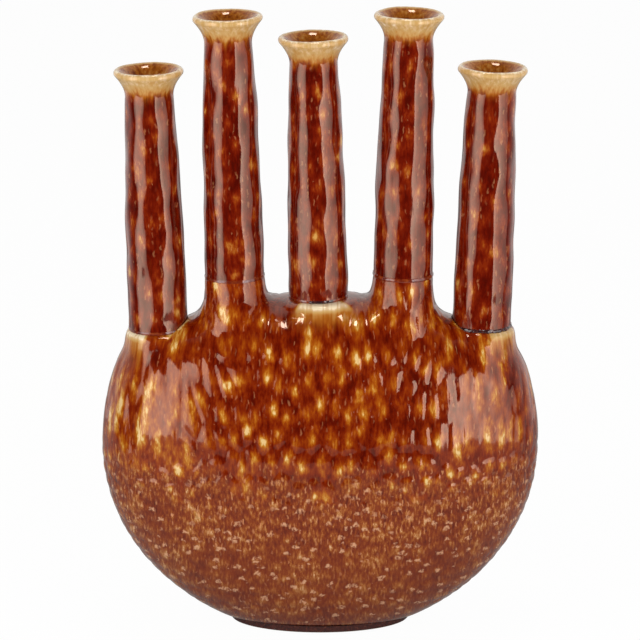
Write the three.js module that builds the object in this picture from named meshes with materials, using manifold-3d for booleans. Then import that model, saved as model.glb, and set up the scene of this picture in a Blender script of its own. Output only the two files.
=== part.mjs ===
// A five-necked flower vase in glazed stoneware. A round belly, flattened front to back, stands on an oval
// foot ring. Five tapered necks with flared lips, all from one mould, are luted side by side along its top.
// Millimetres, +Z up, front towards -Y. The origin is the middle of the foot's resting face.

import * as THREE from "three";
import { mergeVertices } from "three/addons/utils/BufferGeometryUtils.js";
import Module from "manifold-3d";

const wasm = await Module();
wasm.setup();

// Belly: half sizes at its widest level, its wall, and the arch of its top edge.
const bellyHalfWidth = 105.7;
const bellyHalfDepth = 47;
const bellyMidHeight = 90;
const bellyWall = 5;
const bellyFloor = 6;
const bellyFullness = 2.2; // of its sections from front to back, where 2 would be an ellipse
const crownHeight = 164.5;
const shoulderDrop = 17; // from the crown of the arch down to the outer necks
const shoulderTuck = 0.7; // how far the sides come in under the outer necks
const cornerSharpness = 60; // of the turn from the sides into the arch

// Foot ring, and how far the belly bulges over it at its ends and at its front and back.
const footHalfWidth = 43.5;
const footHeight = 3.5;
const footRingWidth = 6;
const footBevel = 0.6;
const endOverhang = 4;
const frontOverhang = 0.5;

// Neck: one moulded tube with a flared lip, from its lower end to the crest of the lip.
const neckLength = 125.1;
const neckBaseRadius = 14.1;
const neckTopRadius = 11.3;
const neckBaseWall = 4;
const neckTopWall = 3.4;
const flareHeight = 13;
const lipRadius = 16.4;
const lipThickness = 3.4;

// Joints: a ring of luting slip between belly and neck, and a hairline wherever two pieces meet.
const slipThickness = 1;
const hairline = 0.3;
const socketClearance = 0.4;

// The outer necks stand this far inside the belly's widest half width.
const outerNeckInset = 28.4;

// Bosses: how wide a ledge each leaves round its neck, how it sweeps out to both sides, and its height.
const outerBoss = { ledge: 0.6, sweep: 2, height: 8 };
const middleBoss = { ledge: 3, sweep: 2, height: 5 };
const tallBoss = { ledge: 0.8, sweep: 10, height: 18 };
const frontSweep = 0.25; // a boss's sweep to the front and back, as a share of that to the sides

// Each neck's hand-set offset from even spacing, the height of its seat over the arch, and its lean
// outwards in degrees.
const necks = [
  { name: "outer_left", station: -2, aside: -0.1, rise: 0.4, lean: -1.3, boss: outerBoss },
  { name: "inner_left", station: -1, aside: -2, rise: 13.5, lean: -1.1, boss: tallBoss },
  { name: "middle", station: 0, aside: -0.8, rise: -1, lean: -1.1, boss: middleBoss },
  { name: "inner_right", station: 1, aside: 0.9, rise: 14.1, lean: 0.9, boss: tallBoss },
  { name: "outer_right", station: 2, aside: -0.2, rise: 1.6, lean: 1.7, boss: outerBoss },
];

// Smoothness of round shapes.
const outsideDetail = { sides: 72, rings: 22 };
const insideDetail = { sides: 48, rings: 16 };
const footSides = 56;
const neckSides = 26;
const curveSteps = 5;

const glaze = { color: 0x8a3f12, roughness: 0.12, metalness: 0 };
const paleGlaze = { color: 0xc99a5a, roughness: 0.15, metalness: 0 };
const bareClay = { color: 0xb59a7c, roughness: 0.9, metalness: 0 };

// Sizes that follow from the ones above.
const outerNeckPlace = bellyHalfWidth - outerNeckInset;
const neckSpacing = outerNeckPlace / 2;
const archRadius = (outerNeckPlace ** 2 + shoulderDrop ** 2) / (2 * shoulderDrop);
const archCentre = crownHeight - archRadius;
const shoulderWidth = outerNeckPlace + neckBaseRadius - shoulderTuck;
const boreRadius = neckBaseRadius - neckBaseWall;
const neckFoot = 2 * hairline + slipThickness; // lower end of a neck above its seat

// The sides are ellipses: below the widest level down to the foot, above it in to the outer necks. These
// are the heights at which they would meet.
const meetingHeight = (height, width) => height / Math.sqrt(1 - (width / bellyHalfWidth) ** 2);
const lowerMeeting = meetingHeight(bellyMidHeight - footHeight, footHalfWidth + endOverhang);
const upperMeeting = meetingHeight(crownHeight - shoulderDrop - bellyMidHeight, shoulderWidth);

const bottomShare = (bellyMidHeight - footHeight) / lowerMeeting;
const bottomDepth = bellyHalfDepth * (1 - bottomShare ** bellyFullness) ** (1 / bellyFullness);
const footHalfDepth = bottomDepth - frontOverhang;

const archHeight = (x) => archCentre + Math.sqrt(archRadius ** 2 - x ** 2);

// The distance from the belly's middle to its front outline, in the direction of a unit vector.
function outlineReach(x, z) {
  const side = 1 / Math.hypot(x / bellyHalfWidth, z / (z < 0 ? lowerMeeting : upperMeeting));
  const lift = (bellyMidHeight - archCentre) * z;
  const rest = archRadius ** 2 - (bellyMidHeight - archCentre) ** 2;
  const arch = Math.sqrt(lift ** 2 + rest) - lift;
  return (side ** -cornerSharpness + arch ** -cornerSharpness) ** (-1 / cornerSharpness);
}

// A closed mesh as a solid to join and cut, with shared vertices merged and slivers at the axis dropped.
const weldDistance = 1e-4;
function solidFrom(geometry) {
  const bare = geometry.clone();
  bare.deleteAttribute("normal");
  bare.deleteAttribute("uv");
  const merged = mergeVertices(bare, weldDistance);
  const corners = [];
  const index = merged.index.array;
  for (let i = 0; i < index.length; i += 3) {
    const [a, b, c] = [index[i], index[i + 1], index[i + 2]];
    if (a !== b && b !== c && c !== a) corners.push(a, b, c);
  }
  return new wasm.Manifold(
    new wasm.Mesh({
      numProp: 3,
      vertProperties: new Float32Array(merged.attributes.position.array),
      triVerts: new Uint32Array(corners),
    }),
  );
}

function geometryFrom(solid) {
  const mesh = solid.getMesh();
  const geometry = new THREE.BufferGeometry();
  geometry.setAttribute("position", new THREE.BufferAttribute(mesh.vertProperties, 3));
  geometry.setIndex(new THREE.BufferAttribute(mesh.triVerts, 1));
  geometry.computeVertexNormals();
  return geometry;
}

// A profile of radius and height, turned about +Z.
function turned(profile, sides) {
  return new THREE.LatheGeometry(profile, sides).rotateX(Math.PI / 2);
}

function cylinder(radius, bottom, top) {
  const profile = [
    new THREE.Vector2(0, bottom),
    new THREE.Vector2(radius, bottom),
    new THREE.Vector2(radius, top),
    new THREE.Vector2(0, top),
  ];
  return turned(profile, neckSides);
}

// The belly's form, drawn in by an inset and cut off flat at a level: a pebble whose sections from the
// front to the back all shrink towards its middle.
function bellyForm(inset, bottom, { sides, rings }) {
  const form = new THREE.SphereGeometry(1, sides, rings);
  const places = form.attributes.position;
  for (let i = 0; i < places.count; i++) {
    const [x, y, z] = [places.getX(i), places.getY(i), places.getZ(i)];
    const share = Math.hypot(x, z);
    const reach = share > 0 ? outlineReach(x / share, z / share) - inset : 0;
    const width = share ** (2 / bellyFullness);
    const depth = Math.sign(y) * Math.abs(y) ** (2 / bellyFullness) * (bellyHalfDepth - inset);
    const scale = share > 0 ? (width * reach) / share : 0;
    places.setXYZ(i, x * scale, depth, bellyMidHeight + z * scale);
  }
  const beyond = 2 * crownHeight + 2 * bellyHalfWidth; // larger than the belly either way
  const keep = new THREE.BoxGeometry(beyond, beyond, beyond).translate(0, 0, bottom + beyond / 2);
  return solidFrom(form).intersect(solidFrom(keep));
}

// The place of a neck's seat: the middle of the joint, turned so that the neck's axis is its +Z.
function seatOf({ station, aside, rise, lean }) {
  const seat = new THREE.Group();
  const x = station * neckSpacing + aside;
  seat.position.set(x, 0, archHeight(x) + rise);
  seat.rotation.y = THREE.MathUtils.degToRad(lean);
  seat.updateMatrix();
  return seat;
}

const placedAt = (seat, geometry) => solidFrom(geometry.clone().applyMatrix4(seat.matrix));

// A boss that rises out of the shoulder to the seat of a neck. It sweeps out widest to both sides, where
// its foot follows the slope of the arch.
function bossForm({ station, boss }) {
  const radius = neckBaseRadius + boss.ledge;
  const sweptTop = boss.sweep - boss.height;
  const profile = new THREE.Path();
  profile.moveTo(0, -boss.height);
  profile.lineTo(radius + boss.sweep, -boss.height);
  profile.absarc(radius + boss.sweep, sweptTop, boss.sweep, -Math.PI / 2, -Math.PI, true);
  profile.lineTo(radius, 0);
  profile.lineTo(0, 0);
  const form = turned(profile.getPoints(curveSteps), neckSides);
  const slope = (-station * neckSpacing) / archRadius;
  const places = form.attributes.position;
  for (let i = 0; i < places.count; i++) {
    const [x, y, z] = [places.getX(i), places.getY(i), places.getZ(i)];
    const out = Math.hypot(x, y);
    if (out > radius) places.setY(i, (y / out) * (radius + frontSweep * (out - radius)));
    places.setZ(i, z + (slope * x * z) / -boss.height);
  }
  return form;
}

function bellySolid() {
  let shell = bellyForm(0, footHeight, outsideDetail);
  for (const neck of necks) shell = shell.add(placedAt(seatOf(neck), bossForm(neck)));
  shell = shell.subtract(bellyForm(bellyWall, footHeight + bellyFloor, insideDetail));
  for (const neck of necks) {
    const pastRoof = neck.boss.height + 1.5 * bellyWall; // the roof slopes, so it is cut longer than its wall
    const socket = cylinder(neckBaseRadius + socketClearance, 0, neckLength);
    shell = shell.subtract(placedAt(seatOf(neck), socket));
    shell = shell.subtract(placedAt(seatOf(neck), cylinder(boreRadius, -pastRoof, 1)));
  }
  return shell;
}

// A neck: its outside tapers and flares to a rolled lip, and inside a funnel mouth narrows to its bore.
function neckForm() {
  const flareFoot = neckLength - flareHeight;
  const lipRoll = lipThickness / 2;
  const lipHeight = neckLength - lipRoll;
  const underLip = neckLength - lipThickness;
  const throatRadius = neckTopRadius - neckTopWall;
  const profile = new THREE.Path();
  profile.moveTo(boreRadius, 0);
  profile.lineTo(neckBaseRadius, 0);
  profile.quadraticCurveTo(neckBaseRadius, flareFoot / 2, neckTopRadius, flareFoot);
  profile.quadraticCurveTo(neckTopRadius, (flareFoot + underLip) / 2, lipRadius - lipRoll, underLip);
  profile.absarc(lipRadius - lipRoll, lipHeight, lipRoll, -Math.PI / 2, Math.PI / 2, false);
  profile.quadraticCurveTo(throatRadius, underLip, throatRadius, flareFoot);
  profile.lineTo(boreRadius, 0);
  return turned(profile.getPoints(curveSteps), neckSides);
}

function slipRingForm() {
  const profile = [
    new THREE.Vector2(boreRadius, hairline),
    new THREE.Vector2(neckBaseRadius, hairline),
    new THREE.Vector2(neckBaseRadius, hairline + slipThickness),
    new THREE.Vector2(boreRadius, hairline + slipThickness),
    new THREE.Vector2(boreRadius, hairline),
  ];
  return turned(profile, neckSides);
}

// The foot ring: an oval band with an eased lower edge.
function footForm() {
  const band = new THREE.Path();
  band.moveTo(footHalfWidth - footRingWidth, 0);
  band.lineTo(footHalfWidth - footBevel, 0);
  band.lineTo(footHalfWidth, footBevel);
  band.lineTo(footHalfWidth, footHeight - hairline);
  band.lineTo(footHalfWidth - footRingWidth, footHeight - hairline);
  band.closePath();
  const form = turned(band.getPoints(), footSides);
  // Pressing the round ring into an oval keeps the band equally wide all round.
  const places = form.attributes.position;
  for (let i = 0; i < places.count; i++) {
    const [x, y] = [places.getX(i), places.getY(i)];
    const radius = Math.hypot(x, y);
    places.setY(i, (y / radius) * (radius - footHalfWidth + footHalfDepth));
  }
  return form;
}

function piece(name, geometry, finish) {
  const mesh = new THREE.Mesh(geometry, new THREE.MeshStandardMaterial(finish));
  mesh.name = name;
  return mesh;
}

const vase = new THREE.Group();
vase.add(piece("belly", geometryFrom(bellySolid()), glaze));
vase.add(piece("foot_ring", footForm(), bareClay));
for (const neck of necks) {
  const seat = seatOf(neck);
  const tube = piece(`neck_${neck.name}`, neckForm(), glaze);
  tube.position.z = neckFoot;
  seat.add(tube, piece(`slip_ring_${neck.name}`, slipRingForm(), paleGlaze));
  vase.add(seat);
}

export default vase;
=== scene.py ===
# %% [markdown]
# # A five-necked vase in amber glaze
# The vase is stoneware: a pebble-shaped belly on an oval foot, with five moulded necks luted along its top.
# It was hammered while soft and dipped in a runny amber glaze, which is thin and pale on every ridge and
# lip, and dark where it has pooled. Each piece of clay is made here as an object of its own, inside the
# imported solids, which are loaded first.

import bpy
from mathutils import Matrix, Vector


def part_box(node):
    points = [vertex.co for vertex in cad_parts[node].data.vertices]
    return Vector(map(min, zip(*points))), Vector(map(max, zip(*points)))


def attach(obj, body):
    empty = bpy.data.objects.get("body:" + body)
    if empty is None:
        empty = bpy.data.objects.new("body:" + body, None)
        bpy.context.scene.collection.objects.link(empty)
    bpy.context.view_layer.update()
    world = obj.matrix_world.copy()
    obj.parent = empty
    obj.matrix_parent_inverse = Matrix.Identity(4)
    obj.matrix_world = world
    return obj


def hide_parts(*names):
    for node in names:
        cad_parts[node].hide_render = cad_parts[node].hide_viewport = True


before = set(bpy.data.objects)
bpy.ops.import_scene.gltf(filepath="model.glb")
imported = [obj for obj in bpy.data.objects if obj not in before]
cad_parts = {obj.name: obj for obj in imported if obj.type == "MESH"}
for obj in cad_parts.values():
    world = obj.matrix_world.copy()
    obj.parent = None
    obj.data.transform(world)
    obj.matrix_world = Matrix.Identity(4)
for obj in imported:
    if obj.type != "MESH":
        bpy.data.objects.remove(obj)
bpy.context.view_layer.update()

import math

import bmesh
import bpy
from mathutils import Matrix, Vector, kdtree, noise
from mathutils.geometry import interpolate_bezier

MM = 0.001

# %% [markdown]
# ## Sizes
# The sizes repeat those of the solids, in millimetres. The belly is seen from the front as an arch over
# two half ellipses, and it gets thinner towards that outline. Each neck has a seat on the arch, set a
# little off the even spacing and leaning a degree or two, as the potter's hand left it.

# %% Sizes of the belly, the necks and their seats
HALF_WIDTH, HALF_DEPTH, MID_HEIGHT, CROWN = 105.7, 47.0, 90.0, 164.5
FULLNESS, CORNER = 2.2, 60  # how full the belly's section is, and how sharply the arch meets the ellipses
WALL, FLOOR = 5.0, 6.0
SHOULDER_DROP, SHOULDER_LEFT, SHOULDER_RIGHT = 17.0, 91.0, 91.8
FOOT_HALF_WIDTH, FOOT_HEIGHT, FOOT_RING = 43.5, 3.5, 6.0

NECK_LENGTH, NECK_FOOT = 125.1, 1.6
NECK_BASE, NECK_TOP, BORE_BASE, BORE_TOP = 14.1, 11.3, 10.1, 7.9
FLARE_FOOT, LIP_RADIUS, LIP_THICKNESS = 112.1, 16.4, 3.4

SPACING = 38.65
ARCH_RADIUS = ((2 * SPACING) ** 2 + SHOULDER_DROP**2) / (2 * SHOULDER_DROP)
ARCH_CENTRE = CROWN - ARCH_RADIUS

# A boss: its ledge, side flare, sweep and the sweep's height, forward flare, and how far down it goes.
OUTER = (0.7, 0.34, 1, 8, 0.70, 20)
MIDDLE = (3, 0, 2, 5, 0.80, 22)
TALL = (0.1, 0.10, 10, 18.6, 0.47, 29)

# A neck: its station along the arch, offset aside, height over the arch, lean in degrees, and boss.
NECKS = {
    "outer_left": (-2, -0.1, 0.4, -1.3, OUTER),
    "inner_left": (-1, -2.0, 13.5, -1.1, TALL),
    "middle": (0, -0.8, -1.0, -1.1, MIDDLE),
    "inner_right": (1, 0.9, 14.1, 0.9, TALL),
    "outer_right": (2, -0.2, 1.6, 1.7, OUTER),
}


def arch_height(x):
    return ARCH_CENTRE + math.sqrt(ARCH_RADIUS**2 - x**2)


def seat_of(name):
    """The turn and place of a neck's seat, whose +Z is the neck's axis."""
    station, aside, rise, lean, _ = NECKS[name]
    x = station * SPACING + aside
    return Matrix.Translation((x, 0, arch_height(x) + rise)) @ Matrix.Rotation(math.radians(lean), 4, "Y")


for name in NECKS:
    print(name, "seat at", [round(v, 1) for v in seat_of(name).translation])

# %% [markdown]
# ## The camera
# The photograph was taken with a long lens from about a metre and a half, looking down by 16.6 degrees.
# The ellipses of the lips and the foot gave that angle, and the size of the near and the far edges gave
# the distance.

# %% The camera at the photograph's angle
FRAME_PIXELS, FOCAL_PIXELS, SENSOR = 640, 3178, 36.0
CAMERA_BACK, CAMERA_UP, LOOKS_DOWN = 1457.3, 586.9, 16.63
camera_data = bpy.data.cameras.new("camera")
camera_data.sensor_width = SENSOR
camera_data.lens = FOCAL_PIXELS / FRAME_PIXELS * SENSOR
camera = bpy.data.objects.new("camera", camera_data)
camera.location = (0, -CAMERA_BACK * MM, CAMERA_UP * MM)
camera.rotation_euler = (math.radians(90 - LOOKS_DOWN), 0, 0)
bpy.context.collection.objects.link(camera)
bpy.context.scene.camera = camera
bpy.context.scene.view_settings.view_transform = "Standard"
print("lens", round(camera_data.lens, 1), "mm")

# %% [markdown]
# ## Nodes and colours
# Colours are written as sRGB hex and turned to linear once. One small function adds any node, with its
# own settings and with values or links for its sockets. Its kind is the node's type without ShaderNode.


# %% Helpers for materials
def paint(code):
    """A hex colour such as #8a3f12 as linear RGBA."""
    parts = [int(code[i : i + 2], 16) / 255 for i in (1, 3, 5)]
    return [p / 12.92 if p <= 0.04045 else ((p + 0.055) / 1.055) ** 2.4 for p in parts] + [1.0]


def add_node(tree, kind, sockets=None, **settings):
    """Add a node; each socket is given a value, an output to link to, or a node, for its first output."""
    made = tree.nodes.new("ShaderNode" + kind)
    for name, value in settings.items():
        setattr(made, name, value)
    for name, value in (sockets or {}).items():
        if isinstance(value, bpy.types.Node):
            value = value.outputs[0]
        if isinstance(value, bpy.types.NodeSocket):
            tree.links.new(value, made.inputs[name])
        else:
            made.inputs[name].default_value = value
    return made


def set_stops(ramp, stops):
    """Give a colour ramp its stops, as pairs of position and hex colour."""
    elements = ramp.color_ramp.elements
    while len(elements) < len(stops):
        elements.new(1.0)
    for element, (position, code) in zip(elements, stops):
        element.position = position
        element.color = paint(code)


def new_material(name):
    material = bpy.data.materials.new(name)
    material.use_nodes = True
    material.node_tree.nodes.clear()
    return material, material.node_tree


# %% [markdown]
# ## The amber breaking glaze
# The finish is a glossy iron glaze that breaks: over the tops of the hammered relief and at the lips it
# is thin and turns honey and cream, and in the hollows it is thick and red-brown. It also runs down the
# pot as it melts, so most of its pattern is taller than it is wide. Three things are stored on each mesh:
# how near a place is to the top of a bump, how far the glaze has drawn back there, and coordinates that
# follow the run of the glaze round the piece. So the colour sits on the real bumps, and noise on those
# coordinates breaks it up more finely.

# %% Colours and sizes of the glaze
IRON_SHEEN = (1.0, 0.72, 0.54, 1.0)  # iron crystals at the surface warm what it reflects
GLOSS, GLAZE_IOR = 0.07, 1.72  # a wet look, with strong reflections

# Colours from thick glaze to thin: on the belly, low on it, on the necks and where the glaze has drawn back.
BELLY_TONES = [(0.02, "#520900"), (0.18, "#661200"), (0.36, "#7b2203"), (0.54, "#8f3705"),
               (0.68, "#a3510c"), (0.80, "#b8711f"), (0.92, "#cc9848"), (1.0, "#e3c084")]
LOW_TONES = [(0.04, "#5a1304"), (0.32, "#76270a"), (0.52, "#883a10"), (0.68, "#a05924"), (0.82, "#b97c46"),
             (0.96, "#d8aa80")]
NECK_TONES = [(0.02, "#4b0600"), (0.20, "#5b0a00"), (0.40, "#6d1502"), (0.56, "#812606"), (0.70, "#96430f"),
              (0.84, "#ae6826"), (1.0, "#cc9850")]
HONEY_TONES = [(0.28, "#8f4510"), (0.44, "#a9611c"), (0.60, "#bf8b49"), (0.80, "#cba468"), (0.92, "#dab88c"),
               (1.0, "#f2dfba")]
# The cream of the flecks is partly thin glaze and partly a painted highlight, and the tan of the dashes is
# partly pale crystals and partly painted glints.
FLECK_CREAM_AND_HIGHLIGHT, DASH_TAN_AND_GLINT = "#dfa981", "#d6915f"

# Width and height in mm of the cells of each pattern, how far it is moved, its detail and its roughness.
CLOUDS, GRAIN = (17, 30, 9.0, 1.0, 0.50), (1.3, 3.0, 2.0, 3.0, 0.65)
DRIPS, RIPPLES = (1.9, 60, 3.0, 2.0, 0.60), (1.6, 8.0, 11.0, 1.0, 0.50)
FLECK_CELL, DASH_CELL, DASH_BEND = (5.6, 5.2), (2.7, 5.0), (2.2, 2.8)


def per_metre(width, height):
    """How many cells of this width and height in millimetres go into a metre, across, inwards and up."""
    return 1 / (width * MM), 1 / (width * MM), 1 / (height * MM)


# %% Build the glaze
def breaking_glaze(name, tones, streak, speckled_below, base, bumps, spots):
    """The glaze's node tree.

    A streak has a width and height in mm. The speckled glaze begins to give way at the lower of the two
    levels, in mm, and ends at the upper. The base is the tone of a hollow; bumps and spots are how much
    paler the bumps and their tops are.
    """
    material, tree = new_material(name)
    place = add_node(tree, "Attribute", attribute_name="flow").outputs["Vector"]
    crest = add_node(tree, "Attribute", attribute_name="crest").outputs["Fac"]
    thin = add_node(tree, "Attribute", attribute_name="thin").outputs["Fac"]

    # The patterns lie about zero, mostly within a quarter either way.
    width, height = streak
    streaks, runs = (width, height, 0.0, 3.0, 0.60), (3.2 * width, 1.6 * height, 5.0, 2.0, 0.50)
    patterns = []
    for wide, tall, move, detail, roughness in (streaks, runs, CLOUDS, GRAIN, DRIPS, RIPPLES):
        cells = {"Vector": place, "Location": (move,) * 3, "Scale": per_metre(wide, tall)}
        cells = add_node(tree, "Mapping", cells)
        pattern = {"Vector": cells, "Scale": 1.0, "Detail": detail, "Roughness": roughness}
        pattern = add_node(tree, "TexNoise", pattern)
        patterns.append(add_node(tree, "Math", {0: pattern, 1: 0.5}, operation="SUBTRACT"))
    fine, medium, clouds, grain, drips, ripples = patterns

    # Streaks where the glaze ran, over slower clouds of thick and thin. The bumps are thin, the valleys thick.
    # A Map Range takes its value, the two ends it runs between, and what it gives at each end.
    tone = add_node(tree, "Math", {0: crest, 1: bumps, 2: base}, operation="MULTIPLY_ADD")
    for pattern, weight in ((fine, 0.65), (medium, 1.00), (clouds, 0.45), (grain, 0.50)):
        tone = add_node(tree, "Math", {0: pattern, 1: weight, 2: tone}, operation="MULTIPLY_ADD")
    top = add_node(tree, "Math", {0: fine, 1: 0.9, 2: crest}, operation="MULTIPLY_ADD")
    top = add_node(tree, "Math", {0: medium, 1: 0.9, 2: top}, operation="MULTIPLY_ADD")
    spot = {0: top, 1: 0.65, 2: 1.1, 3: 0.0, 4: spots}
    spot = add_node(tree, "MapRange", spot, interpolation_type="SMOOTHSTEP")
    tone = add_node(tree, "Math", {0: tone, 1: spot}, operation="ADD")
    upper = add_node(tree, "ValToRGB", {"Fac": tone})
    set_stops(upper, tones)

    # The levels are made ragged. Each zone has two levels in mm, and how strong it is below and above them.
    ragged = add_node(tree, "SeparateXYZ", {"Vector": place}).outputs["Z"]
    for pattern in (medium, clouds):
        ragged = add_node(tree, "Math", {0: pattern, 1: 0.05, 2: ragged}, operation="MULTIPLY_ADD")
    high, low = speckled_below
    zones = []
    for start, end, below, above in (
            (low, high, 0, 1), (40, 62, 0.8, 1.6), (low - 20, high - 2, 1, 0), (44, 62, 0, 1), (84, 100, 1, 0)):
        zone = {0: ragged, 1: start * MM, 2: end * MM, 3: below, 4: above}
        zones.append(add_node(tree, "MapRange", zone, interpolation_type="SMOOTHSTEP"))
    unspeckled, hairy, flecked, plain_above, plain_below = zones

    # Lower down the glaze is redder and flatter, and its grain is stronger from 40 to 62 mm upwards.
    tone = add_node(tree, "Math", {0: crest, 1: 0.42, 2: 0.33}, operation="MULTIPLY_ADD")
    for pattern, weight in ((grain, hairy), (fine, 0.9), (clouds, 0.5)):
        tone = add_node(tree, "Math", {0: pattern, 1: weight, 2: tone}, operation="MULTIPLY_ADD")
    lower = add_node(tree, "ValToRGB", {"Fac": tone})
    set_stops(lower, LOW_TONES)
    mixed = {"Factor": unspeckled, 6: lower, 7: upper}
    body = add_node(tree, "Mix", mixed, data_type="RGBA").outputs[2]

    # A cream fleck is the upper half of a small bent ring, torn by the grain. It is partly thin glaze and
    # partly a painted highlight on the top edge of a bump.
    cell = add_node(tree, "Mapping", {"Vector": place, "Location": (2.0,) * 3, "Scale": per_metre(*FLECK_CELL)})
    wobble = add_node(tree, "TexNoise", {"Vector": cell, "Scale": 2.6, "Detail": 2.0}).outputs["Color"]
    cell = add_node(tree, "VectorMath", {0: wobble, 1: (0.7, 0.7, 0.7), 2: cell}, operation="MULTIPLY_ADD")
    bump = add_node(tree, "TexVoronoi", {"Vector": cell, "Scale": 1.0})
    away = add_node(tree, "VectorMath", {0: cell, 1: bump.outputs["Position"]}, operation="SUBTRACT")
    away = add_node(tree, "SeparateXYZ", {"Vector": away})
    ring = add_node(tree, "Math", {0: bump.outputs["Distance"], 1: 0.19}, operation="SUBTRACT")
    ring = add_node(tree, "Math", {0: ring}, operation="ABSOLUTE")
    fleck_and_highlight = flecked
    for value, start, end, first, last in (
            (ring, 0.03, 0.17, 0.82, 0), (away.outputs["Z"], -0.18, 0.02, 0, 1), (grain, -0.20, 0.06, 0, 1)):
        part = {0: value, 1: start, 2: end, 3: first, 4: last}
        part = add_node(tree, "MapRange", part, interpolation_type="SMOOTHSTEP")
        fleck_and_highlight = add_node(tree, "Math", {0: fleck_and_highlight, 1: part}, operation="MULTIPLY")
    body = add_node(tree, "Mix", {"Factor": fleck_and_highlight, 6: body, 7: paint(FLECK_CREAM_AND_HIGHLIGHT)}, data_type="RGBA").outputs[2]

    # Short upright pale dashes, partly crystals and partly painted glints, are everywhere, a few mm apart,
    # and plainest where the flecks end.
    bend = add_node(tree, "Mapping", {"Vector": place, "Location": (17.0,) * 3, "Scale": per_metre(*DASH_BEND)})
    bend = add_node(tree, "TexNoise", {"Vector": bend, "Scale": 1.0, "Detail": 1.0}).outputs["Color"]
    cell = add_node(tree, "Mapping", {"Vector": place, "Location": (7.0,) * 3, "Scale": per_metre(*DASH_CELL)})
    cell = add_node(tree, "VectorMath", {0: bend, 1: (0.8, 0.0, 0.7), 2: cell}, operation="MULTIPLY_ADD")
    dash = add_node(tree, "TexVoronoi", {"Vector": cell, "Scale": 1.0})
    away = add_node(tree, "VectorMath", {0: cell, 1: dash.outputs["Position"]}, operation="SUBTRACT")
    away = add_node(tree, "SeparateXYZ", {"Vector": away})
    aside = add_node(tree, "Math", {0: away.outputs["X"]}, operation="ABSOLUTE")
    along = add_node(tree, "Math", {0: away.outputs["Z"]}, operation="ABSOLUTE")
    chance = add_node(tree, "SeparateXYZ", {"Vector": dash.outputs["Color"]})
    plain = add_node(tree, "Math", {0: plain_above, 1: plain_below}, operation="MULTIPLY")
    crystal_and_glint_dash = add_node(tree, "Math", {0: plain, 1: 1.3, 2: 1.0}, operation="MULTIPLY_ADD")
    for value, start, end, first, last in (
            (aside, 0.04, 0.19, 0.30, 0), (along, 0.10, 0.34, 1, 0), (chance, 0.40, 1.0, 0, 1)):
        part = {0: value, 1: start, 2: end, 3: first, 4: last}
        part = add_node(tree, "MapRange", part, interpolation_type="SMOOTHSTEP")
        crystal_and_glint_dash = add_node(tree, "Math", {0: crystal_and_glint_dash, 1: part}, operation="MULTIPLY")
    body = add_node(tree, "Mix", {"Factor": crystal_and_glint_dash, 6: body, 7: paint(DASH_TAN_AND_GLINT)}, data_type="RGBA").outputs[2]

    # Where the glaze has drawn back it is honey over the buff clay, with a dripping lower edge.
    drawn_back = add_node(tree, "Math", {0: medium, 1: 0.20, 2: thin}, operation="MULTIPLY_ADD")
    drawn_back = add_node(tree, "Math", {0: drips, 1: 0.62, 2: drawn_back}, operation="MULTIPLY_ADD")
    honey = add_node(tree, "ValToRGB", {"Fac": drawn_back})
    set_stops(honey, HONEY_TONES)
    bare = {0: drawn_back, 1: 0.05, 2: 0.52, 3: 0.0, 4: 1.0}
    bare = add_node(tree, "MapRange", bare, interpolation_type="SMOOTHSTEP")
    colour = add_node(tree, "Mix", {"Factor": bare, 6: body, 7: honey}, data_type="RGBA").outputs[2]

    # The melted surface keeps fine upright ripples.
    rippled = add_node(tree, "Bump", {"Strength": 0.3, "Distance": 0.1 * MM, "Height": ripples})
    finish = {"Base Color": colour, "Roughness": GLOSS, "IOR": GLAZE_IOR, "Normal": rippled}
    finish = add_node(tree, "BsdfPrincipled", finish | {"Specular Tint": IRON_SHEEN})
    add_node(tree, "OutputMaterial", {"Surface": finish})
    print(name, len(tree.nodes), "nodes")
    return material


# %% The glaze on the belly, speckled low down, and on the necks, speckled nowhere
SPECKLES, NOWHERE = (93, 77), (-1001, -1002)
belly_glaze = breaking_glaze(
    "amber_breaking_glaze_on_belly", BELLY_TONES, (1.2, 4.2), SPECKLES, base=0.135, bumps=0.90, spots=0.05)
neck_glaze = breaking_glaze(
    "amber_breaking_glaze_on_necks", NECK_TONES, (1.1, 4.2), NOWHERE, base=0.18, bumps=0.62, spots=0.06)

# %% [markdown]
# ## Making and finishing a piece
# Every piece is shaped in millimetres as a bmesh, and then scaled to metres as it becomes an object. It
# rides on the vase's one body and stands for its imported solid.


# %% Helpers for pieces
def carry(mesh, name, values):
    """Store one number per vertex on a mesh, for its material to read."""
    attribute = mesh.attributes.new(name, "FLOAT", "POINT")
    attribute.data.foreach_set("value", values)


def carry_flow(mesh, places):
    """Store the run's own coordinates in metres: round the piece, into it, and up it."""
    attribute = mesh.attributes.new("flow", "FLOAT_VECTOR", "POINT")
    attribute.data.foreach_set("vector", [value * MM for place in places for value in place])


def as_object(shape, name):
    """An object in metres from a bmesh in millimetres, which is freed."""
    bmesh.ops.scale(shape, vec=(MM, MM, MM), verts=shape.verts)
    mesh = bpy.data.meshes.new(name)
    shape.to_mesh(mesh)
    shape.free()
    made = bpy.data.objects.new(name, mesh)
    bpy.context.collection.objects.link(made)
    return made


def finish_piece(name, shape, node, material, marks=None, flow=None):
    """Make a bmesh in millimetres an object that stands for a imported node."""
    piece = as_object(shape, name)
    mesh = piece.data
    mesh.shade_smooth()
    mesh.set_sharp_from_angle(angle=math.radians(55))
    for mark, values in (marks or {}).items():
        carry(mesh, mark, values)
    if flow:
        carry_flow(mesh, flow)
    mesh.materials.append(material)
    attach(piece, "root")
    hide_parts(node)
    reach = [[round(f(v.co[i] for v in mesh.vertices) / MM, 1) for i in range(3)] for f in (min, max)]
    solid = [[round(v / MM, 1) for v in corner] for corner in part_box(node)]
    print(name, "triangles", sum(len(p.vertices) - 2 for p in mesh.polygons), "box", reach, "solid", solid)
    return piece


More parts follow.
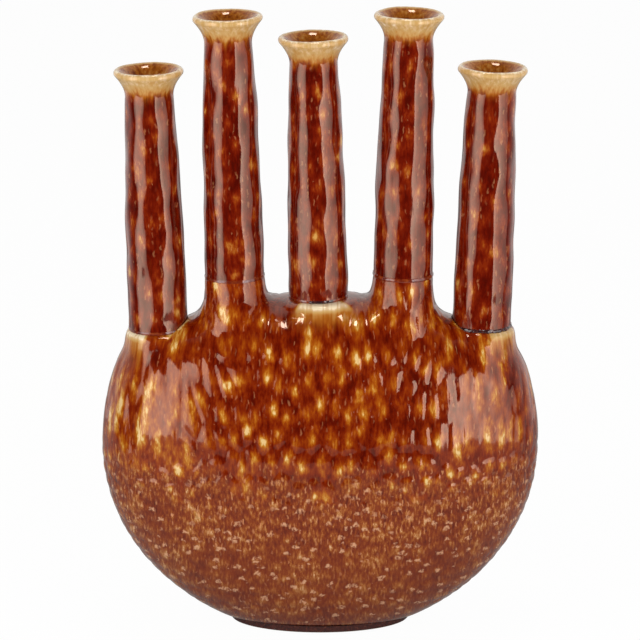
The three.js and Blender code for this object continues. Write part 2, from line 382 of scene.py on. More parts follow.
def smooth_step(value, low, high):
    """How far a value is from low to high, as a share that starts and ends gently."""
    share = min(max((value - low) / (high - low), 0.0), 1.0)
    return share * share * (3 - 2 * share)


def curve(start, control, end, steps):
    """Points of radius and height on a parabola from start to end, drawn towards a control point."""
    start, control, end = (Vector((p[0], 0, p[1])) for p in (start, control, end))
    handles = start.lerp(control, 2 / 3), end.lerp(control, 2 / 3)
    return [(p.x, p.z) for p in interpolate_bezier(start, *handles, end, steps + 1)]


def turn(shape, profile, sides, closed=False):
    """Spin a profile of radius and height once about +Z."""
    points = [shape.verts.new((radius, 0, height)) for radius, height in profile]
    pairs = list(zip(points, points[1:])) + ([(points[-1], points[0])] if closed else [])
    edges = [shape.edges.new(pair) for pair in pairs]
    bmesh.ops.spin(shape, geom=points + edges, cent=(0, 0, 0), axis=(0, 0, 1), angle=math.tau, steps=sides,
                   use_merge=True)
    bmesh.ops.remove_doubles(shape, verts=shape.verts, dist=0.001)
    bmesh.ops.recalc_face_normals(shape, faces=shape.faces)


# %% [markdown]
# ## The hammered relief
# The soft clay was beaten into low upright bumps before the glaze went on. Bumps lie in rows like bricks,
# each moved a little off its place by chance, with a valley half-way between it and the next one. Slower
# noise makes some of them fade, so that no two are alike. The same numbers move the surface and later
# colour it.


# %% The height of the relief at a place
LOOSE_ASIDE, LOOSE_UP = 0.55, 0.7  # the range within which chance moves a bump, in bumps
DOME, TIP = (0.80, 0.43), (0.16, 0.20)  # how strong a bump's body and its tip are, and their radius in bumps


def drops(across, up, seed, columns=0):
    """How near the place is to the middle of its bump, up to about 1 on the strongest, and how far it is from
    the valley between two bumps, counted in bumps."""
    column, row = math.floor(across), math.floor(up)
    found = []
    for j in (row - 1, row, row + 1):
        for i in (column - 1, column, column + 1, column + 2):
            chance = noise.cell_vector(Vector((i % columns if columns else i, j, seed)))
            aside = i - 0.5 * (j % 2) + 0.5 + LOOSE_ASIDE * (chance.x - 0.5)
            middle = aside, j + 0.5 + LOOSE_UP * (chance.y - 0.5)
            found.append((math.dist((across, up), middle), chance.z))
    found.sort()
    (nearest, strength), (second, _) = found[:2]
    drop = sum(height * math.exp(-((nearest / radius) ** 2)) for height, radius in (DOME, TIP))
    return (0.50 + 0.50 * strength) * drop, second - nearest


def hammered(across, up, seed, columns=0):
    """The relief at a place, from -1 in a valley to 1 on a bump, and how near a bump's middle it is."""
    crest, valley = drops(across, up, seed, columns)
    wave = noise.noise(Vector((across, up, seed)) * 0.6)
    relief = 0.7 * crest + 0.9 * smooth_step(valley, 0.0, 0.5) - 0.7 + 0.7 * wave
    return max(-1.0, min(1.0, relief)), crest


# %% The relief of the belly
BUMP_WIDTH, BUMP_LOW, BUMP_HIGH, RIDGE = 7.6, 7.5, 12.5, 24.0  # mm across, and up for three kinds of bump
SPECKLED, FAN_LEVEL = 76, 115  # levels where the low bumps end and from which the ridges fan out
EDGE_EXTRA, EDGE_BAND = 18.7, 12.0  # how much longer the way to the edge is than across; half the edge's width
FRONT_SEED, BACK_SEED = 2.5, 7.5


def around_belly(place):
    """Millimetres to the right round the belly, from the middle of the front or the back to the edge."""
    across, deep = place.x / HALF_WIDTH, place.y / HALF_DEPTH
    share = math.hypot(across, deep)
    turned = 1 - abs(deep) / share if share > 0 else 0.0
    return place.x + math.copysign(share * EDGE_EXTRA * turned**2, place.x)


def relief_of_belly(place):
    """Round bumps low down, taller ones above, and on the left shoulder long ridges that fan out."""
    x, y, z = place
    high = smooth_step(z, SPECKLED, SPECKLED + 20)
    ridged = smooth_step(abs(x), 44, 66) * high
    climb = (z - SPECKLED) / (BUMP_LOW if z < SPECKLED else BUMP_HIGH)
    climb += ridged * (z - FAN_LEVEL) * (1 / RIDGE - 1 / BUMP_HIGH)
    lean = (0.26 - 0.40 * smooth_step(-x, 45, 98)) * (z - FAN_LEVEL) * smooth_step(-x, 30, 48) * high
    across = (around_belly(place) + lean) / BUMP_WIDTH
    behind = smooth_step(y, -EDGE_BAND, EDGE_BAND)
    front = hammered(across, climb, FRONT_SEED) if behind < 1 else (0.0, 0.0)
    back = hammered(across + 0.5, climb, BACK_SEED) if behind > 0 else (0.0, 0.0)
    relief, crest = (a + (b - a) * behind for a, b in zip(front, back))
    if x >= 0:
        return relief, crest
    fold = 1.6 * noise.noise(Vector((across * 0.92, z / 27, y / 20 + 4.0)))
    return (relief * (1 - 0.65 * ridged) + fold * ridged,
            crest * (1 - 0.40 * ridged) + 0.52 * max(fold, 0.0) * ridged)


def flow_of_belly(place):
    """Where a place is along the run of the glaze: the front and the back count as flat, so that it runs
    straight down them."""
    return Vector((around_belly(place), max(-EDGE_BAND, min(EDGE_BAND, place.y)), place.z))


for level in (40, 90, 140):
    relief, crest = relief_of_belly(Vector((0, -HALF_DEPTH, level)))
    print("relief in the middle at", level, "mm:", round(relief, 2), "crest", round(crest, 2))

# %% [markdown]
# ## The necks
# All five necks came out of one mould: a tube that tapers from 28 to 23 mm and rolls out into a lip. A
# profile is spun, then the outside is hammered a little less than the belly, with longer waves, and the
# lip is bent slightly out of true.

# %% The profile of a neck
LIP_ROLL = LIP_THICKNESS / 2
UNDER_LIP = NECK_LENGTH - LIP_THICKNESS
RIM = LIP_RADIUS - LIP_ROLL
UNDERSIDE = 40  # degrees below level where the roll of the lip meets the flare


def neck_profile():
    """The wall's outline from the base up the outside, over the lip and down the bore."""
    outside = curve((NECK_BASE, 0), (NECK_BASE, FLARE_FOOT / 2), (NECK_TOP, FLARE_FOOT), 96)
    angles = [math.radians(-UNDERSIDE + 13 * i) for i in range(11)]
    roll = [(RIM + LIP_ROLL * math.cos(a), NECK_LENGTH - LIP_ROLL + LIP_ROLL * math.sin(a)) for a in angles]
    out, up = roll[0]
    run = (out - NECK_TOP) / math.tan(math.radians(UNDERSIDE))
    flare = curve((NECK_TOP, FLARE_FOOT), (NECK_TOP, up - run), (out, up), 14)
    mouth = curve((RIM, NECK_LENGTH), (BORE_TOP, UNDER_LIP), (BORE_TOP, FLARE_FOOT), 10)
    bore = [(BORE_TOP + (BORE_BASE - BORE_TOP) * i / 14, FLARE_FOOT * (1 - i / 14)) for i in range(15)]
    return outside + flare[1:] + roll[1:] + mouth[1:] + bore[1:]


# %% Spin, hammer and place the five necks
NECK_SIDES, BUMPS_ROUND, NECK_BUMP = 96, 10, 12  # the last is how tall a bump is, in mm
NECK_WAVES = (0.62, 7, 15), (0.35, 14, 32)  # mm: how far out, and how long round and up


def make_neck(name):
    """Spin a neck, give its wall waves and its lip a sag, and stand it on its seat."""
    shape = bmesh.new()
    turn(shape, neck_profile(), NECK_SIDES, closed=True)
    shape.normal_update()
    drift = Vector((11.7 * (NECKS[name][0] + 3), 5.3, 2.9))
    marks, moves = {"crest": [], "thin": []}, []
    for vertex in shape.verts:
        x, y, height = vertex.co
        outside = vertex.normal.xy.dot(vertex.co.xy) > -0.2 * vertex.co.xy.length
        wave = sum(far * noise.noise(Vector((x / long, y / long, height / tall)) + drift)
                   for far, long, tall in NECK_WAVES)
        fade = smooth_step(height, 0, 6) * (1 - smooth_step(height, 106, 118))
        moves.append(vertex.normal * (wave * fade if outside else 0.0))
        turned = BUMPS_ROUND * math.atan2(y, x) / math.tau
        crest = hammered(turned, height / NECK_BUMP, drift.x, BUMPS_ROUND)[1]
        marks["crest"].append(crest if outside else 0.0)
        paled = 0.82 * smooth_step(height, 108, 121) if outside else 0.42 * smooth_step(height, 104, 120)
        on_rim = smooth_step(height, NECK_LENGTH - 1.0, NECK_LENGTH - 0.1) * (vertex.co.xy.length > RIM - 0.6)
        marks["thin"].append(paled + (0.95 - paled) * on_rim)
    for vertex, move in zip(shape.verts, moves):
        sag = 0.35 * (noise.noise(Vector((vertex.co.x / 13, vertex.co.y / 13, 0)) + drift) - 0.6)
        vertex.co += move + Vector((0, 0, sag * smooth_step(vertex.co.z, 112, 123)))
    flow = [v.co + 40 * drift for v in shape.verts]
    seat = seat_of(name) @ Matrix.Translation((0, 0, NECK_FOOT))
    bmesh.ops.transform(shape, matrix=seat, verts=shape.verts)
    return finish_piece(f"moulded_neck_{name}", shape, f"neck_{name}", neck_glaze, marks, flow)


for name in NECKS:
    make_neck(name)

# %% [markdown]
# ## The belly
# The belly is hollow, with a rounded boss under each neck that runs out into the shoulder. A sphere is
# pushed to the pebble's shape, the bosses are spun, and a voxel remesh joins them into one skin of small
# even quads, as wet clay is joined. Smoothing then eases the joins, and the relief is hammered in.


# %% The pebble form
def meeting_height(height, width):
    """How high the half ellipse is that has this half width at this height over the middle."""
    return height / math.sqrt(1 - (width / HALF_WIDTH) ** 2)


LOWER_MEETING = meeting_height(MID_HEIGHT - FOOT_HEIGHT, FOOT_HALF_WIDTH + 4)
SHOULDER_RISE = CROWN - SHOULDER_DROP - MID_HEIGHT
LEFT_MEETING = meeting_height(SHOULDER_RISE, SHOULDER_LEFT)
RIGHT_MEETING = meeting_height(SHOULDER_RISE, SHOULDER_RIGHT)


def outline_reach(x, z):
    """The distance from the belly's middle to its front outline, towards a unit vector."""
    meeting = LOWER_MEETING if z < 0 else LEFT_MEETING if x < 0 else RIGHT_MEETING
    side = 1 / math.hypot(x / HALF_WIDTH, z / meeting)
    lift = (MID_HEIGHT - ARCH_CENTRE) * z
    arch = math.sqrt(lift**2 + ARCH_RADIUS**2 - (MID_HEIGHT - ARCH_CENTRE) ** 2) - lift
    return (side**-CORNER + arch**-CORNER) ** (-1 / CORNER)


def pebble(shape, inset, bottom, fineness):
    """Add the belly's form, drawn in by an inset and flat at the bottom."""
    made = bmesh.ops.create_icosphere(shape, subdivisions=fineness, radius=1)["verts"]
    for vertex in made:
        x, y, z = vertex.co
        share, reach = math.hypot(x, z), 0
        if share > 1e-6:
            reach = (outline_reach(x / share, z / share) - inset) * share ** (2 / FULLNESS - 1)
        depth = math.copysign(abs(y) ** (2 / FULLNESS) * (HALF_DEPTH - inset), y)
        vertex.co = (x * reach, depth, max(MID_HEIGHT + z * reach, bottom))
    return made


# name: how high the boss is built before it is trimmed, and where its ledge is moved to, right and front
BUILT = {"outer_left": (0.3, -0.4, 0.8), "inner_left": (3, 0, 0), "middle": (0.3, 1.8, 0.8),
         "inner_right": (3, 0, 0), "outer_right": (0.3, 1.0, 0.8)}


def add_part(shape, part):
    """Add one bmesh to another, and free it."""
    loose = bpy.data.meshes.new("loose")
    part.to_mesh(loose)
    part.free()
    shape.from_mesh(loose)
    bpy.data.meshes.remove(loose)


def boss_under(shape, name):
    """Add the boss that rises out of the shoulder to a neck's seat: a cone in front, swept out at the sides."""
    station, _, _, _, (ledge, flare, sweep, height, forward, depth) = NECKS[name]
    top, aside, front = BUILT[name]
    radius = NECK_BASE + ledge
    angles = [math.radians(15 * i) for i in range(7)]
    side = [(radius + sweep * (1 - math.sin(a)), -height + sweep * (1 - math.cos(a))) for a in angles]
    rings = 12
    low = [(radius + sweep, -depth + (depth - height) * i / rings) for i in range(rings)]
    part = bmesh.new()
    turn(part, [(0, -depth)] + low + side + [(radius, top), (0, top)], 64)
    steep = [e for e in part.edges if abs(e.verts[0].co.z - e.verts[1].co.z) > 2]
    bmesh.ops.subdivide_edges(part, edges=steep, cuts=6)
    slope = -station * SPACING / ARCH_RADIUS
    for vertex in part.verts:
        x, y, z = vertex.co
        out, down = math.hypot(x, y), max(-z, 0)
        wide = (radius + (out - radius) + flare * down) / out if out > radius - 0.1 else 1.0
        deep = (radius + forward * down) / out if out > radius - 0.1 else 1.0
        vertex.co = (x * wide + aside, y * deep - front, z + slope * x * min(down / height, 1))
    bmesh.ops.transform(part, matrix=seat_of(name), verts=part.verts)
    add_part(shape, part)


# %% Join the pebble and the bosses into one skin
VOXEL = 1.15


def baked(helper):
    """What a helper object's modifiers make of it, as a bmesh in millimetres. The helper is removed."""
    bpy.context.view_layer.update()
    shape = bmesh.new()
    shape.from_object(helper, bpy.context.evaluated_depsgraph_get())
    bmesh.ops.scale(shape, vec=(1 / MM, 1 / MM, 1 / MM), verts=shape.verts)
    bpy.data.objects.remove(helper)
    return shape


skin = bmesh.new()
pebble(skin, 0, FOOT_HEIGHT, 6)
for name in NECKS:
    boss_under(skin, name)
helper = as_object(skin, "skin")
remesh = helper.modifiers.new("join", "REMESH")
remesh.mode, remesh.voxel_size = "VOXEL", VOXEL * MM
skin = baked(helper)
print("skin", len(skin.verts), "vertices")

# %% [markdown]
# Smoothing a fine skin a few times takes out the steps that the voxels left. Below the seats it goes on
# for longer, because there the clay flows from boss to shoulder without an edge.


# %% Ease the skin
# name: how far to either side of the seat the slope reaches, and from what height over the seat it goes down
FLOWING = {"outer_left": (26, -5), "inner_left": (30, -3), "middle": (22, -4),
           "inner_right": (30, -3), "outer_right": (26, -5)}


def flows(place):
    """Whether a place is on the soft slope below a neck's seat."""
    for name, (aside, below) in FLOWING.items():
        seat = seat_of(name).translation
        if abs(place.x - seat.x) < aside and -42 < place.z - seat.z < below:
            return True
    return False


def ease(verts, times):
    """Draw vertices half-way to the middle of their neighbours, a number of times."""
    for _ in range(times):
        bmesh.ops.smooth_vert(skin, verts=verts, factor=0.5, use_axis_x=True, use_axis_y=True, use_axis_z=True)
    print("eased", len(verts), "vertices", times, "times")


ease(skin.verts, 5)
ease([v for v in skin.verts if flows(v.co)], 30)
bmesh.ops.recalc_face_normals(skin, faces=skin.faces)
skin.normal_update()

# %% [markdown]
# Melting glaze draws back from a convex edge, so the ledges round the necks are pale. How far a vertex
# stands out from the middle of its neighbours says how sharp the edge is there.

# %% Find the sharp edges
EDGE_SOFT, EDGE_SHARP = 0.035, 0.12  # how far a vertex stands out, in mm, where paling begins and is full
POOL_SHALLOW, POOL_DEEP = 0.012, 0.05  # how far it lies in, in mm, where glaze begins to pool and is deepest
CROOK, CROOK_SIZE = (-77, 140), (4.5, 8)  # where glaze pools beside the outer left neck, to the right and up

# name: the directions, in degrees from the right round by the back, between which a ledge is bare of glaze,
# how far down it stays honey, and how pale its edge is
PALE_LEDGES = {"outer_left": (165, 258, 20, 0.98), "middle": (228, 325, 20, 1.0),
               "outer_right": (275, 355, 16, 0.80)}


def ledge_paling(place):
    """How far the glaze has run off the ledge of a joint, at a place on the belly."""
    most = 0.0
    for name, (start, end, depth, edge) in PALE_LEDGES.items():
        here = seat_of(name).inverted() @ place
        way = math.degrees(math.atan2(here.y, here.x)) % 360
        inside = smooth_step(way, start, start + 12) * (1 - smooth_step(way, end - 12, end))
        close = 1 - smooth_step(here.xy.length, 20, 34)
        rim = smooth_step(here.z, -3.6, -0.8)
        honey = 0.50 * smooth_step(here.z, -depth, -2.0)
        most = max(most, inside * close * (honey + (edge - honey) * rim))
    return most


def stands_out(vertex):
    """How far a vertex is out of the middle of its neighbours, in mm."""
    around = [e.other_vert(vertex).co for e in vertex.link_edges]
    middle = sum(around, Vector()) / len(around)
    return (vertex.co - middle).dot(vertex.normal)


def mean_round(vertex, values):
    """The mean of the values of a vertex's neighbours."""
    return sum(values[e.other_vert(vertex).index] for e in vertex.link_edges) / len(vertex.link_edges)


edge = {v.index: stands_out(v) for v in skin.verts}
for _ in range(2):
    edge = {v.index: (edge[v.index] + mean_round(v, edge)) / 2 for v in skin.verts}
sharp_of = []  # for each vertex, how thin the glaze is there and how far it has pooled
for vertex in skin.verts:
    x, _, z = vertex.co
    high = smooth_step(z, 120, 140)
    pale = smooth_step(edge[vertex.index], EDGE_SOFT, EDGE_SHARP) * high
    pooled = smooth_step(-edge[vertex.index], POOL_SHALLOW, POOL_DEEP) * high
    crook = math.exp(-(((x - CROOK[0]) / CROOK_SIZE[0]) ** 2) - ((z - CROOK[1]) / CROOK_SIZE[1]) ** 2)
    sharp_of.append((max(0.12 * pale, ledge_paling(vertex.co)), max(pooled, crook)))
print("edges stand out up to", round(max(edge.values()), 2), "mm")

# %% Hammer the skin
RELIEF_DEPTH = 0.42


def near_seat(place):
    """How near a place is to the level of a neck's seat, so that the ledge there stays flat."""
    for name in NECKS:
        here = seat_of(name).inverted() @ place
        if abs(here.z) < 4 and here.xy.length < 20:
            return 1 - smooth_step(abs(here.z), 1, 4)
    return 0.0


def strength_of_relief(place):
    """The relief ends at the foot and the seats, and is lower below the middle and on the right shoulder."""
    x, _, z = place
    fade = smooth_step(z, FOOT_HEIGHT + 1, FOOT_HEIGHT + 12) * (1 - 0.8 * near_seat(place))
    below = 0.5 * smooth_step(-z, -85, -60)
    right = 0.6 * smooth_step(x, 42, 62) * smooth_step(z, 84, 100)
    return fade * (1 - below - right)


moves = []
for vertex in skin.verts:
    drawn_in = 0.9 - 0.7 * smooth_step(vertex.co.z, 105, 145)
    depth = RELIEF_DEPTH * strength_of_relief(vertex.co) * (relief_of_belly(vertex.co)[0] - drawn_in)
    moves.append(vertex.normal * depth)
sharpness = kdtree.KDTree(len(skin.verts))
for vertex, move in zip(skin.verts, moves):
    vertex.co += move
    sharpness.insert(vertex.co, vertex.index)
sharpness.balance()
print("hammered", len(moves), "vertices, by up to", round(max(move.length for move in moves), 2), "mm")

# %% [markdown]
# The inside is another pebble, 5 mm in, and a stepped drill opens a bore into it under each neck and
# trims the top of the boss flat for the neck to stand on.

# %% Hollow the belly
DRILLED, TRIMMED, CLEAR = 7.5, 0.25, 40  # mm: the drill's depth below a boss, its trim and how far up it goes

shell = skin.copy()
skin.free()
inner = bmesh.new()
pebble(inner, WALL, FOOT_HEIGHT + FLOOR, 5)
bmesh.ops.recalc_face_normals(inner, faces=inner.faces)
bmesh.ops.reverse_faces(inner, faces=inner.faces)
add_part(shell, inner)

drills = bmesh.new()
for name in NECKS:
    bottom, wide = -NECKS[name][4][3] - DRILLED, NECK_BASE + 0.3
    drill = bmesh.new()
    turn(drill, [(0, bottom), (BORE_BASE, bottom), (BORE_BASE, TRIMMED), (wide, TRIMMED), (wide, CLEAR),
                 (0, CLEAR)], 64)
    bmesh.ops.transform(drill, matrix=seat_of(name), verts=drill.verts)
    add_part(drills, drill)

cutter = as_object(drills, "drills")
helper = as_object(shell, "shell")
cut = helper.modifiers.new("bores", "BOOLEAN")
cut.operation, cut.object, cut.solver = "DIFFERENCE", cutter, "EXACT"
shell = baked(helper)
bpy.data.objects.remove(cutter)
print("hollowed shell", len(shell.verts), "vertices")

# %% Finish the belly
THINNER_LEFT, THINNER_RIGHT, THINNEST = 0.24, 0.05, 0.81


def thinness(place):
    """How thin the glaze is on the bumps: thinner on the ridges of both shoulders, and most on the left."""
    ridged = smooth_step(abs(place.x), 42, 66) * smooth_step(place.z, SPECKLED, SPECKLED + 15)
    return min(relief_of_belly(place)[1] + ridged * (THINNER_LEFT if place.x < 0 else THINNER_RIGHT), THINNEST)


drawn_off, pooled = zip(*(sharp_of[sharpness.find(v.co)[1]] for v in shell.verts))
crests = [thinness(v.co) * (1 - 0.8 * deep) - 0.12 * deep for v, deep in zip(shell.verts, pooled)]
marks = {"crest": crests, "thin": list(drawn_off)}
flow = [flow_of_belly(v.co) for v in shell.verts]
belly = finish_piece("glazed_belly", shell, "belly", belly_glaze, marks, flow)

# %% [markdown]
# ## The joints
# Each neck was stuck on with slip, which squeezed out as a thin uneven bead and was glazed over. On the
# tall bosses it is a fine raised ridge. On the others it lies in a crease, painted dark partly as crust
# and partly as the crease's shade, with painted grey glints.

# %% The slip and its glaze
slip_glaze, tree = new_material("slip_bead_under_glaze")
place = add_node(tree, "TexCoord").outputs["Object"]
spots = add_node(tree, "TexNoise", {"Vector": place, "Scale": 1 / (2.5 * MM), "Detail": 3.0})
dark_crust_shade_and_glints = add_node(tree, "ValToRGB", {"Fac": spots})
# The dark stops are partly crust and partly painted shade in the crease; the grey-blue stop is a painted glint.
set_stops(dark_crust_shade_and_glints, [(0.30, "#1c0d0c"), (0.50, "#33161a"), (0.64, "#5a2a20"), (0.76, "#8f8590")])
ridge = add_node(tree, "ValToRGB", {"Fac": spots})
set_stops(ridge, [(0.30, "#521003"), (0.50, "#6e2006"), (0.70, "#8c3c12")])
crust_and_crevice_shade = add_node(tree, "Attribute", attribute_name="crust_and_crevice_shade").outputs["Fac"]
colour = add_node(tree, "Mix", {"Factor": crust_and_crevice_shade, 6: ridge, 7: dark_crust_shade_and_glints}, data_type="RGBA").outputs[2]
pits = add_node(tree, "Bump", {"Strength": 0.5, "Distance": 0.2 * MM, "Height": spots})
finish = add_node(tree, "BsdfPrincipled", {
    "Base Color": colour, "Roughness": 0.12, "IOR": GLAZE_IOR, "Normal": pits})  # a glaze gone a little dull
add_node(tree, "OutputMaterial", {"Surface": finish})
print(slip_glaze.name, len(tree.nodes), "nodes")

# %% The beads of slip
# name: how far the bead stands out past the neck, how far it reaches below the seat, how rough it is, and
# between which directions, in degrees from the right round by the back, it is painted dark, partly as crust
# and partly as the shade of its crease
BEADS = {"outer_left": (0.15, 0.3, 0.12, (300, 350)), "inner_left": (0.25, 0.9, 0.10, None),
         "middle": (0.10, 0.3, 0.2, (248, 306)), "inner_right": (0.42, 0.9, 0.12, None),
         "outer_right": (0.55, 0.7, 0.45, (170, 360))}
BEAD_TOP, BEAD_SIDES = 1.9, 160


def make_bead(name):
    """Spin a bead, roughen its outside and lay it in its joint."""
    proud, below, rough, dark = BEADS[name]
    middle, half = (BEAD_TOP - below) / 2, (BEAD_TOP + below) / 2
    angles = [math.radians(-90 + 15 * i) for i in range(13)]
    bead = [(NECK_BASE - 0.25 + (0.25 + proud) * math.cos(a) ** 2, middle + half * math.sin(a)) for a in angles]
    shape = bmesh.new()
    turn(shape, [(BORE_BASE, 0.3)] + bead + [(BORE_BASE, 1.4)], BEAD_SIDES, closed=True)
    shape.normal_update()
    moves = [v.normal * rough * noise.noise(v.co / 1.8 + Vector((NECKS[name][0], 3, 1))) for v in shape.verts]
    crust_and_crevice_shade = []
    for vertex, move in zip(shape.verts, moves):
        if vertex.co.xy.length > NECK_BASE - 0.6:
            vertex.co += move
        way = math.degrees(math.atan2(vertex.co.y, vertex.co.x)) % 360
        start, end = dark or (0, 0)
        dirty = smooth_step(way, start, start + 8) * (1 - smooth_step(way, end - 8, end))
        crust_and_crevice_shade.append(dirty if dark else 0.0)
    bmesh.ops.transform(shape, matrix=seat_of(name), verts=shape.verts)
    marks = {"crust_and_crevice_shade": crust_and_crevice_shade}
    return finish_piece(f"slip_bead_{name}", shape, f"slip_ring_{name}", slip_glaze, marks)


for name in NECKS:
    make_bead(name)

# %% [markdown]
# ## The foot
# The foot ring is a low oval band. Its side was wiped with the same glaze, and its near-black brown there
# is partly painted shade under the overhanging belly. Its underside is bare buff clay.

# %% The two finishes of the foot ring
foot_finish, tree = new_material("dark_foot_glaze_and_painted_shade_over_bare_clay")
place = add_node(tree, "TexCoord").outputs["Object"]
level = add_node(tree, "SeparateXYZ", {"Vector": place}).outputs["Z"]
grit = add_node(tree, "TexNoise", {"Vector": place, "Scale": 1 / (1.2 * MM), "Detail": 4.0})
ragged = add_node(tree, "Math", {0: grit, 1: 0.9 * MM, 2: level}, operation="MULTIPLY_ADD")
bare = add_node(tree, "MapRange", {0: ragged, 1: 0.6 * MM, 2: 0.9 * MM, 3: 1.0, 4: 0.0})
# The near black of the glazed side is partly its dark glaze and partly painted shade under the belly.
dark = add_node(tree, "ValToRGB", {"Fac": grit})
set_stops(dark, [(0.3, "#2a1110"), (0.6, "#4a1f18"), (0.8, "#7a4632")])
clay = add_node(tree, "ValToRGB", {"Fac": grit})
set_stops(clay, [(0.3, "#8c6b4c"), (0.5, "#b59a7c"), (0.75, "#cbb595")])
colour = add_node(tree, "Mix", {"Factor": bare, 6: dark, 7: clay}, data_type="RGBA").outputs[2]
gloss = add_node(tree, "MapRange", {"Value": bare, "To Min": 0.15, "To Max": 0.9})
grain = add_node(tree, "Bump", {"Strength": 0.4, "Distance": 0.1 * MM, "Height": grit})
finish = {"Base Color": colour, "Roughness": gloss, "IOR": 1.55, "Normal": grain}
finish = add_node(tree, "BsdfPrincipled", finish)
add_node(tree, "OutputMaterial", {"Surface": finish})
print(foot_finish.name, len(tree.nodes), "nodes")

# %% The foot ring
BOTTOM_DEPTH = HALF_DEPTH * (1 - ((MID_HEIGHT - FOOT_HEIGHT) / LOWER_MEETING) ** FULLNESS) ** (1 / FULLNESS)
FOOT_HALF_DEPTH = BOTTOM_DEPTH - 0.5
FOOT_TOP = FOOT_HEIGHT - 0.05


def make_foot():
    """Spin the ring round, then press it to the oval of the belly's flat bottom."""
    outer, inner = FOOT_HALF_WIDTH, FOOT_HALF_WIDTH - FOOT_RING
    side = [(outer - 0.8, 0), (outer - 0.35, 0.12), (outer - 0.1, 0.4), (outer, 0.9), (outer, 1.6),
            (outer - 0.1, 2.4), (outer, FOOT_TOP)]
    shape = bmesh.new()
    turn(shape, [(inner, FOOT_TOP), (inner, 0.5), (inner + 0.5, 0), (inner + 3, 0)] + side, 256, closed=True)
    for vertex in shape.verts:
        x, y, z = vertex.co
        radius = math.hypot(x, y)
        worn = 0.12 * noise.noise(Vector((x / 9, y / 9, z / 4))) * smooth_step(z, 0.1, 1.2)
        deep = radius - FOOT_HALF_WIDTH + FOOT_HALF_DEPTH + worn
        vertex.co = (x * (1 + worn / radius), y / radius * deep, z)
    return finish_piece("foot_ring_dipped", shape, "foot_ring", foot_finish)


make_foot()

# %% [markdown]
# ## The studio
# The vase stands on a small white table, with a tall softbox on each side, a smaller one overhead and a
# white wall behind. The table ends about 30 cm in front of the vase, so the upright glaze reflects the
# dark room between the softboxes and keeps its depth, while the lower belly reflects the white table.

# %% The table
TABLE_FRONT, TABLE_BACK, TABLE_HALF = -360, 2800, 420  # mm
SHOWN_WHITE = 0.97  # how much of the table is plain white to the camera; the rest is lit paper, with the shadow
MIRRORED_WHITE = 0.17  # and how much of it is in the gloss

white_paper, tree = new_material("white_table")
rays = add_node(tree, "LightPath")
seen = {0: rays.outputs["Is Camera Ray"], 1: rays.outputs["Is Transmission Ray"]}
seen = add_node(tree, "Math", seen, operation="MAXIMUM")
shade = {"Factor": seen, 6: paint("#a0a09e"), 7: paint("#f8f8f6")}
shade = add_node(tree, "Mix", shade, data_type="RGBA").outputs[2]
paper = add_node(tree, "BsdfDiffuse", {"Color": shade})
white = add_node(tree, "Math", {0: seen, 1: SHOWN_WHITE}, operation="MULTIPLY")
white = {0: rays.outputs["Is Glossy Ray"], 1: MIRRORED_WHITE, 2: white}
white = add_node(tree, "Math", white, operation="MULTIPLY_ADD")
glow = add_node(tree, "Emission", {"Color": (1, 1, 1, 1), "Strength": 1.0})
both = add_node(tree, "MixShader", {0: white, 1: paper, 2: glow})
add_node(tree, "OutputMaterial", {"Surface": both})

top = bmesh.new()
top.faces.new([top.verts.new(corner) for corner in (
    (-TABLE_HALF, TABLE_FRONT, 0), (TABLE_HALF, TABLE_FRONT, 0), (TABLE_HALF, TABLE_BACK, 0),
    (-TABLE_HALF, TABLE_BACK, 0))])
table = as_object(top, "table")
table.data.materials.append(white_paper)
print("table", [round(size, 2) for size in table.dimensions], "m")

# %% The softboxes
MIDDLE_OF_VASE = Vector((0, 0, 0.15))
EVEN = (1.0, 1.0, 1.0, 1.0)


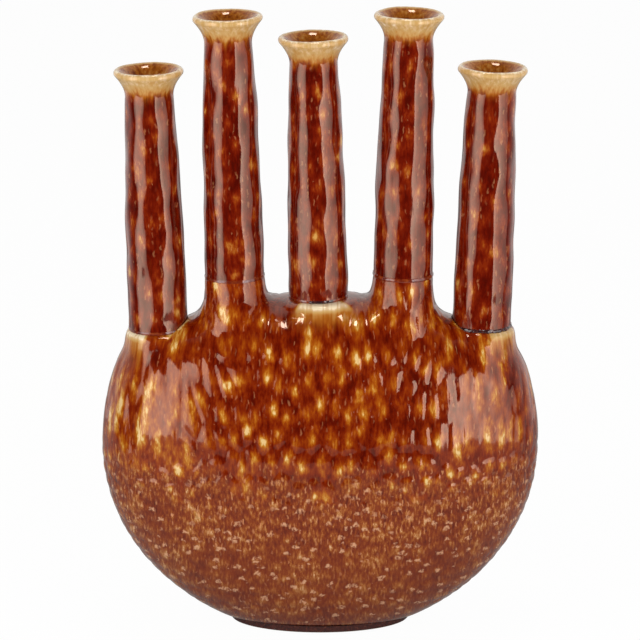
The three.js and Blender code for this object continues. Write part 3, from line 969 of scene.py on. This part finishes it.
def softbox(name, side_angle, distance, level, width, height, radiance, cloth_tones):
    """A rectangular lamp that faces the vase, at an angle from the camera's side of it, in metres.

    The tones are how bright its cloth is from left to right, as the gloss of the vase shows it.
    """
    lamp = bpy.data.lights.new(name, "AREA")
    lamp.shape, lamp.size, lamp.size_y = "RECTANGLE", width, height
    lamp.energy = radiance * 4 * width * height
    lamp.use_nodes = True
    tree = lamp.node_tree
    tree.nodes.clear()
    along = add_node(tree, "NewGeometry").outputs["Parametric"]
    cloth = add_node(tree, "ValToRGB", {"Fac": add_node(tree, "SeparateXYZ", {"Vector": along})})
    elements = cloth.color_ramp.elements
    elements.new(0.3)
    elements.new(0.7)
    for element, position, bright in zip(elements, (0.0, 0.3, 0.7, 1.0), cloth_tones):
        element.position, element.color = position, (bright, bright, bright, 1)
    glow = add_node(tree, "Emission", {"Color": (1, 1, 1, 1), "Strength": cloth})
    add_node(tree, "OutputLight", {"Surface": glow})
    box = bpy.data.objects.new(name, lamp)
    angle = math.radians(side_angle)
    box.location = (math.sin(angle) * distance, -math.cos(angle) * distance, level)
    box.rotation_euler = Vector((-box.location.x, -box.location.y, 0)).to_track_quat("-Z", "Y").to_euler()
    box.visible_camera = False
    bpy.context.collection.objects.link(box)
    print(name, "at", [round(v, 2) for v in box.location], "power", round(lamp.energy, 1), "W")
    return box


# Name, angle in degrees, distance, level, width, height, radiance, and the tones of the cloth.
softbox("softbox_left", -54, 1.1, 0.20, 0.86, 1.9, 3.0, (0.30, 0.90, 0.80, 0.30))
softbox("softbox_right", 60.3, 1.1, 0.15, 1.10, 1.8, 3.9, (1.0, 0.55, 0.28, 0.16))
fill = softbox("fill_from_the_front", 0, 1.6, 0.5, 2.0, 1.6, 1.2, EVEN)
fill.visible_glossy = False
overhead = softbox("softbox_overhead", 0, 0.02, 1.3, 0.26, 0.20, 11.0, EVEN)
overhead.rotation_euler = (MIDDLE_OF_VASE - overhead.location).to_track_quat("-Z", "Y").to_euler()

# %% The white wall behind, as the world
WALL_DARK, WALL_BRIGHT = 0.03, 0.90  # how strongly the gloss shows the room in front and the wall behind

world = bpy.data.worlds.new("studio")
world.use_nodes = True
bpy.context.scene.world = world
tree = world.node_tree
tree.nodes.clear()
towards = add_node(tree, "TexCoord").outputs["Generated"]
back = add_node(tree, "SeparateXYZ", {"Vector": towards}).outputs["Y"]
wall = add_node(tree, "MapRange", {0: back, 1: -0.05, 2: 0.7, 3: WALL_DARK, 4: WALL_BRIGHT})
rays = add_node(tree, "LightPath")
seen = {0: rays.outputs["Is Camera Ray"], 1: rays.outputs["Is Transmission Ray"]}
seen = add_node(tree, "Math", seen, operation="MAXIMUM")
strength = add_node(tree, "Math", {0: wall, 1: seen}, operation="MAXIMUM")
sky = add_node(tree, "Background", {"Color": (1, 1, 1, 1), "Strength": strength})
add_node(tree, "OutputWorld", {"Surface": sky})
print("world", len(tree.nodes), "nodes")
